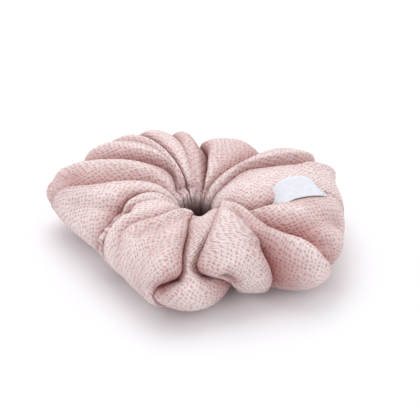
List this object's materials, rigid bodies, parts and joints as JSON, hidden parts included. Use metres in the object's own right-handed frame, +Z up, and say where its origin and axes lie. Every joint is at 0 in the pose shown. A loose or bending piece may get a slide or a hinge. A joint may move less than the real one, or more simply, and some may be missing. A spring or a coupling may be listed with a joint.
{
  "type": "scrunchie",
  "caption": "Oversized gathered hair scrunchie: puffy waffle-knit tube ring over a hidden elastic loop, with a small woven side label.",
  "frame": {"origin": "on the table under the middle of the hair opening, with the relaxed ring lying flat", "axes": "+Z up along the hair opening; +X from the opening towards the woven label, which is also the way the ring stretches; +Y away from the viewer"},
  "size_m": [0.12, 0.12, 0.0401],
  "materials": {
    "waffle_knit": "matte",
    "elastic_tape": "matte",
    "sewing_thread": "satin",
    "woven_label": "satin",
    "label_thread": "satin"
  },
  "bodies": {
    "left_side": {"cover_left": "waffle_knit", "elastic_left": "elastic_tape", "long_seam_thread_left": "sewing_thread"},
    "right_side": {"cover_right": "waffle_knit", "elastic_right": "elastic_tape", "elastic_join_stitching": "sewing_thread", "long_seam_thread_right": "sewing_thread", "closing_seam_thread": "sewing_thread", "label": "woven_label", "label_stitching": "label_thread"}
  },
  "joints": [
    {"name": "stretch", "type": "slide", "parent": "left_side", "child": "right_side", "axis": [1, 0, 0], "range_m": [0, 0.09], "stiffness_N_per_m": 80}
  ]
}
